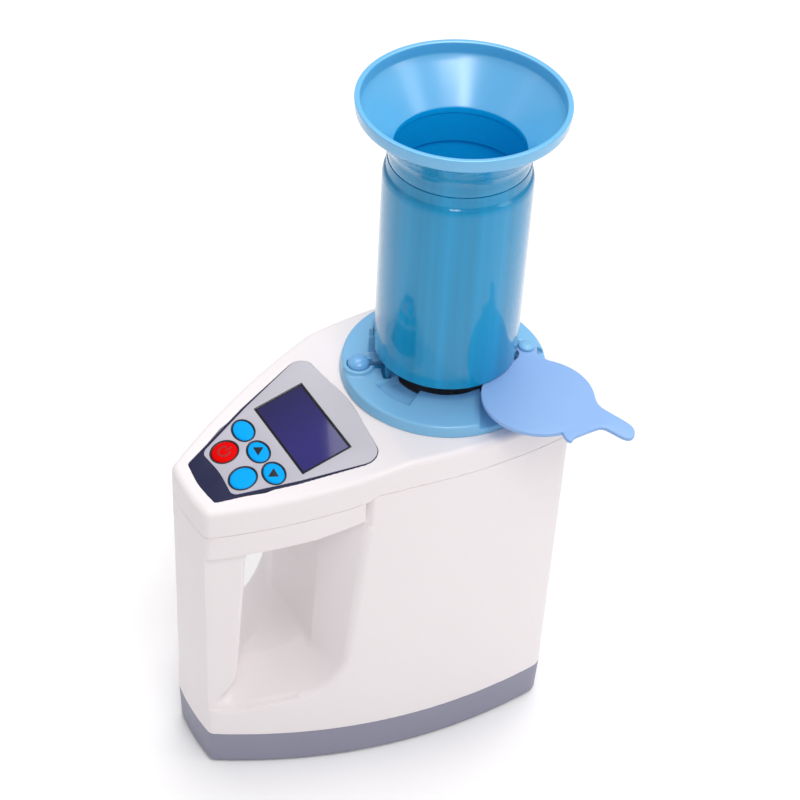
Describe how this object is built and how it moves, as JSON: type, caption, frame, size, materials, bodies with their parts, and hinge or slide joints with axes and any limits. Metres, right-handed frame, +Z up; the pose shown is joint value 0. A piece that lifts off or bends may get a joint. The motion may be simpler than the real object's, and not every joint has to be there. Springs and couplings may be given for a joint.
{
  "type": "grain moisture meter",
  "caption": "Benchtop grain moisture meter with hand opening, sloped key panel, swing gate ring, drop cylinder and loading funnel over a weighed measuring cup.",
  "frame": {"origin": "on the drop cylinder's axis at floor level, 2 mm below the flat underside of the base tray", "axes": "+Z up along the drop cylinder's axis; +X from the narrow handle end to the blunt end; +Y across the body"},
  "size_m": [0.2347, 0.1869, 0.435],
  "materials": {
    "housing_white": "fine satin moulded ABS",
    "base_grey": "satin moulded ABS",
    "panel_navy": "printed overlay film, satin",
    "panel_silver": "printed metallic film, satin",
    "lcd_face": "polished acrylic over a dark blue display",
    "key_blue": "silicone key cap, satin",
    "key_red": "silicone key cap, satin",
    "ring_blue": "semi-gloss moulded ABS",
    "cylinder_blue": "high gloss moulded ABS",
    "gate_blue": "satin moulded ABS",
    "rubber_black": "matt rubber",
    "steel": "bright zinc plate",
    "aluminium": "turned, satin",
    "circuit_board": "green solder mask",
    "black_plastic": "moulded nylon",
    "cell_wrap": "printed metal sleeve",
    "ribbon_grey": "flat ribbon insulation"
  },
  "bodies": {
    "housing": {"base_tray": "base_grey", "lower_housing": "housing_white", "top_cover": "housing_white", "panel_bezel": "panel_navy", "panel_plate": "panel_silver", "lcd_window": "lcd_face", "lcd_module": "steel", "display_board": "circuit_board", "gate_ring": "ring_blue", "latch_spring": "steel", "gate_pivot_screw": "ring_blue", "gate_spring": "steel", "measuring_cup": "aluminium", "centre_electrode": "aluminium", "temperature_probe": "steel", "cup_seat": "black_plastic", "load_cell": "aluminium", "load_cell_bracket": "aluminium", "main_board": "circuit_board", "battery_holder": "black_plastic", "ribbon_cable": "ribbon_grey", "rubber_foot_1": "rubber_black", "rubber_foot_2": "rubber_black", "rubber_foot_3": "rubber_black", "rubber_foot_4": "rubber_black", "base_screw_1": "steel", "base_screw_2": "steel", "base_screw_3": "steel", "base_screw_4": "steel", "board_spacer_1": "black_plastic", "board_spacer_2": "black_plastic", "board_spacer_3": "black_plastic", "board_spacer_4": "black_plastic", "battery_cell_1": "cell_wrap", "battery_cell_2": "cell_wrap", "battery_cell_3": "cell_wrap", "battery_cell_4": "cell_wrap"},
    "gate": {"gate_plate": "gate_blue"},
    "release": {"release_button": "ring_blue", "gate_latch": "cylinder_blue"},
    "menu_key": {"key_menu": "key_blue"},
    "down_key": {"key_down": "key_blue"},
    "up_key": {"key_up": "key_blue"},
    "enter_key": {"key_enter": "key_blue"},
    "power_key": {"key_power": "key_red"},
    "tube": {"drop_cylinder": "cylinder_blue"},
    "loading_funnel": {"funnel": "cylinder_blue"},
    "battery_hatch": {"battery_door": "base_grey"}
  },
  "joints": [
    {"name": "gate_swing", "type": "hinge", "parent": "housing", "child": "gate", "pos_m": [0.04102, -0.02363, 0.2636], "axis": [0, 0, 1], "range_deg": [-97.2, 0], "stiffness_Nm_per_rad": 0.012, "springref_deg": 20.05},
    {"name": "button_press", "type": "slide", "parent": "housing", "child": "release", "axis": [0, 0, -1], "range_m": [0, 0.0038], "stiffness_N_per_m": 400, "springref_m": -0.001, "deforming": ["latch_spring"]},
    {"name": "menu_press", "type": "slide", "parent": "housing", "child": "menu_key", "axis": [0.2553, 0, -0.9669], "range_m": [0, 0.0006], "stiffness_N_per_m": 600, "springref_m": -0.0004},
    {"name": "down_press", "type": "slide", "parent": "housing", "child": "down_key", "axis": [0.2553, 0, -0.9669], "range_m": [0, 0.0006], "stiffness_N_per_m": 600, "springref_m": -0.0004},
    {"name": "up_press", "type": "slide", "parent": "housing", "child": "up_key", "axis": [0.2553, 0, -0.9669], "range_m": [0, 0.0006], "stiffness_N_per_m": 600, "springref_m": -0.0004},
    {"name": "enter_press", "type": "slide", "parent": "housing", "child": "enter_key", "axis": [0.2553, 0, -0.9669], "range_m": [0, 0.0006], "stiffness_N_per_m": 600, "springref_m": -0.0004},
    {"name": "power_press", "type": "slide", "parent": "housing", "child": "power_key", "axis": [0.2553, 0, -0.9669], "range_m": [0, 0.0006], "stiffness_N_per_m": 600, "springref_m": -0.0004},
    {"name": "tube_lift", "type": "slide", "parent": "housing", "child": "tube", "axis": [0, 0, 1], "range_m": [0, 0.04]},
    {"name": "funnel_lift", "type": "slide", "parent": "tube", "child": "loading_funnel", "axis": [0, 0, 1], "range_m": [0, 0.03]},
    {"name": "hatch_drop", "type": "slide", "parent": "housing", "child": "battery_hatch", "axis": [0, 0, -1], "range_m": [0, 0.012]}
  ]
}
